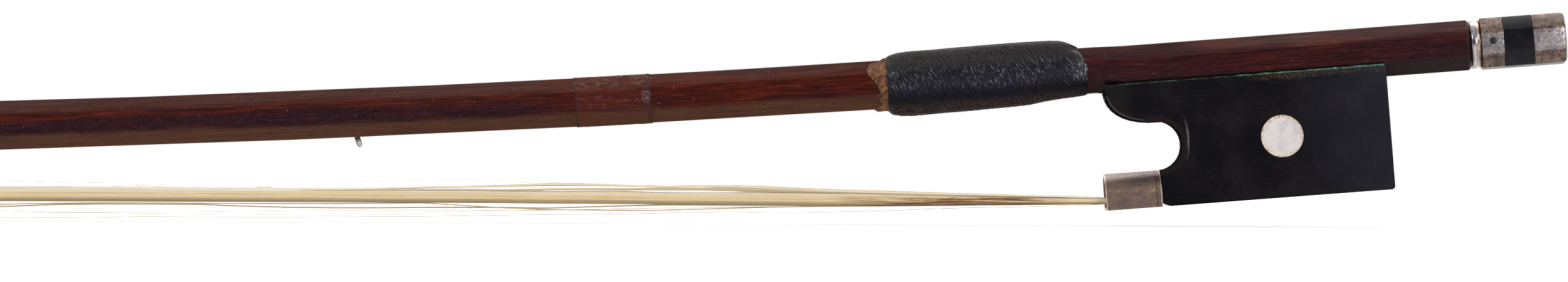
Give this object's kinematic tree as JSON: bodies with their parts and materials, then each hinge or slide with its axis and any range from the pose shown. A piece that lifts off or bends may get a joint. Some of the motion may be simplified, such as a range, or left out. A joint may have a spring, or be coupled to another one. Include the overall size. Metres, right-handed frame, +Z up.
{
  "type": "violin bow",
  "caption": "Violin bow: octagonal cambered stick with carved head, ebony frog that slides on a tension screw, silver ferrule and button, black thumb leather, flat ribbon of horse hair.",
  "frame": {"origin": "middle of the underside of the box round the bow, on the plane that the ferrule's front edge and the head's face plate rest on", "axes": "+X from the head towards the button, level; +Z up, from the hair to the stick; +Y to the far side"},
  "size_m": [0.7454, 0.0134, 0.034],
  "materials": {
    "stick_wood": "dark red-brown varnished pernambuco, satin",
    "ebony": "black ebony, worn polish",
    "pearl": "mother-of-pearl, off-white",
    "bone": "bone, satin",
    "pale_wood": "bare pale wood",
    "tarnished_silver": "tarnished nickel silver",
    "bright_silver": "bright turned nickel silver",
    "lining_metal": "green verdigris on thin metal",
    "brass": "plain brass",
    "steel": "plain steel",
    "black_leather": "black leather, creased",
    "tan_suede": "torn tan suede",
    "gum_band": "aged sticky band, dull",
    "horse_hair": "undyed white horse hair",
    "tied_hair": "waxed thread and hair"
  },
  "bodies": {
    "stick": {"stick": "stick_wood", "head_plate": "bone", "head_liner": "ebony", "head_plug": "pale_wood", "head_hair_knot": "tied_hair", "thumb_leather": "black_leather", "leather_lining": "tan_suede", "stick_band": "gum_band", "winding_pin": "steel", "bow_hair": "horse_hair"},
    "frog": {"frog": "ebony", "underslide": "lining_metal", "underslide_pin_back": "brass", "underslide_pin_front": "brass", "eyelet": "brass", "ferrule": "tarnished_silver", "ferrule_wedge": "pale_wood", "slide": "ebony", "slide_pearl": "pearl", "eye_near": "pearl", "eye_far": "pearl", "frog_plug": "pale_wood", "frog_hair_knot": "tied_hair"},
    "button": {"screw": "steel", "button_core": "ebony", "button_collar": "bright_silver", "button_front_ring": "tarnished_silver", "button_end_cap": "tarnished_silver", "button_ring_pin": "steel"}
  },
  "joints": [
    {"name": "button_turn", "type": "hinge", "parent": "stick", "child": "button", "pos_m": [0.35608, 0, 0.02837], "axis": [-0.9968, 0, -0.0794], "range_deg": [-1081, 2881]},
    {"name": "frog_slide", "type": "slide", "parent": "stick", "child": "frog", "axis": [0.9968, 0, 0.0794], "range_m": [-0.0021, 0.0056], "deforming": ["bow_hair"]}
  ],
  "couplings": [
    {"joint": "button_turn", "follows": "frog_slide", "rad_per_m": 8976}
  ]
}
